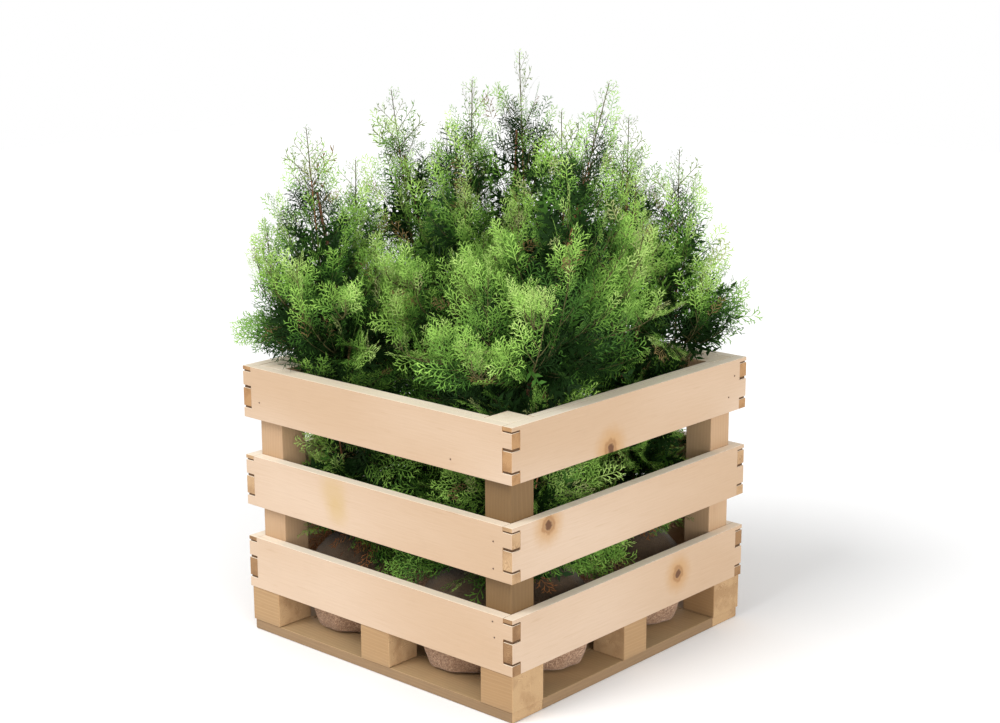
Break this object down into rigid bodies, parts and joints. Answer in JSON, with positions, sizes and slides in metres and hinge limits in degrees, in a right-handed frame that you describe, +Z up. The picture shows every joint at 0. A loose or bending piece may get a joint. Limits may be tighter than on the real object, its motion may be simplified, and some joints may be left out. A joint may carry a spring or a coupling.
{
  "type": "potted thuja",
  "caption": "Multi-stemmed thuja clump on a sacking-wrapped root ball, standing in a square slatted wooden crate as its pot.",
  "frame": {"origin": "middle of the crate's square base, on the ground", "axes": "+Z up along the stems, +X out of the crate's right side and -Y out of its front, the two sides that the picture shows"},
  "size_m": [0.8758, 0.8738, 1.3076],
  "materials": {
    "slat wood": "satin",
    "block wood": "matte",
    "sacking": "matte",
    "bark": "matte",
    "foliage": "satin"
  },
  "bodies": {
    "root": {"slat_front_low": "slat wood", "slat_front_middle": "slat wood", "slat_front_top": "slat wood", "slat_right_low": "slat wood", "slat_right_middle": "slat wood", "slat_right_top": "slat wood", "slat_back_low": "slat wood", "slat_back_middle": "slat wood", "slat_back_top": "slat wood", "slat_left_low": "slat wood", "slat_left_middle": "slat wood", "slat_left_top": "slat wood", "post_near": "block wood", "post_right": "block wood", "post_back": "block wood", "post_left": "block wood", "rim_rail_front": "slat wood", "rim_rail_right": "slat wood", "rim_rail_back": "slat wood", "rim_rail_left": "slat wood", "block_corner_near": "block wood", "block_corner_right": "block wood", "block_corner_back": "block wood", "block_corner_left": "block wood", "block_middle_front": "block wood", "block_middle_right": "block wood", "block_middle_back": "block wood", "block_middle_left": "block wood", "base_board_front": "block wood", "base_board_right": "block wood", "base_board_back": "block wood", "base_board_left": "block wood", "floor_board_1": "block wood", "floor_board_2": "block wood", "root_ball": "sacking", "stem_left": "bark", "stem_back": "bark", "stem_middle": "bark", "stem_near": "bark", "stem_right": "bark", "bough_left": "bark", "bough_back": "bark", "bough_middle": "bark", "bough_near": "bark", "bough_right": "bark", "foliage_low_left": "foliage", "foliage_low_back": "foliage", "foliage_low_middle": "foliage", "foliage_low_near": "foliage", "foliage_low_right": "foliage", "foliage_leader_left": "foliage", "foliage_leader_back": "foliage", "foliage_leader_middle": "foliage", "foliage_leader_near": "foliage", "foliage_leader_right": "foliage", "foliage_second_left": "foliage", "foliage_second_back": "foliage", "foliage_second_middle": "foliage", "foliage_second_near": "foliage", "foliage_second_right": "foliage"}
  },
  "joints": []
}
